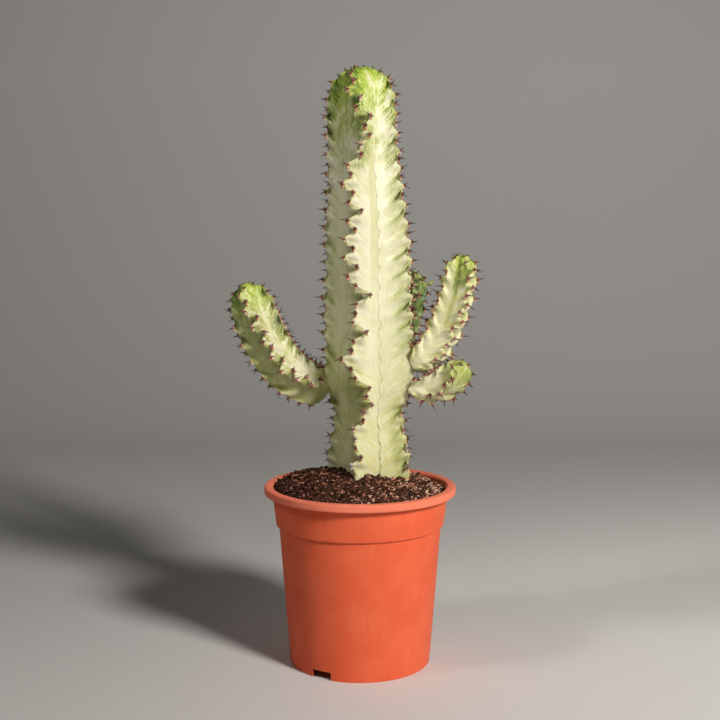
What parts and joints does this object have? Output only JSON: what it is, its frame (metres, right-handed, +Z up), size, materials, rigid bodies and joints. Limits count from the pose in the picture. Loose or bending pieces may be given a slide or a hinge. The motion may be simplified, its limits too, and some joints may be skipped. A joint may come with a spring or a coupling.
{
  "type": "potted euphorbia",
  "caption": "Ribbed, spiny succulent euphorbia with side arms, standing in bark soil in a round plastic nursery pot with a flanged rim.",
  "frame": {"origin": "middle of the pot's base, on the ground", "axes": "+Z up, -Y toward the viewer, +X to the viewer's right"},
  "size_m": [0.2546, 0.1958, 0.5887],
  "materials": {
    "pot_plastic": "satin orange-red moulded plastic",
    "bark_soil": "coarse dark bark and peat",
    "pale_skin": "waxy succulent skin, pale green marbled with cream",
    "green_skin": "waxy succulent skin, yellow-green",
    "shade_skin": "waxy succulent skin, dark green"
  },
  "bodies": {
    "root": {"pot": "pot_plastic", "soil": "bark_soil", "main_stem": "pale_skin", "left_arm": "green_skin", "right_arm": "green_skin", "lower_right_arm": "green_skin", "back_arm": "shade_skin"}
  },
  "joints": []
}
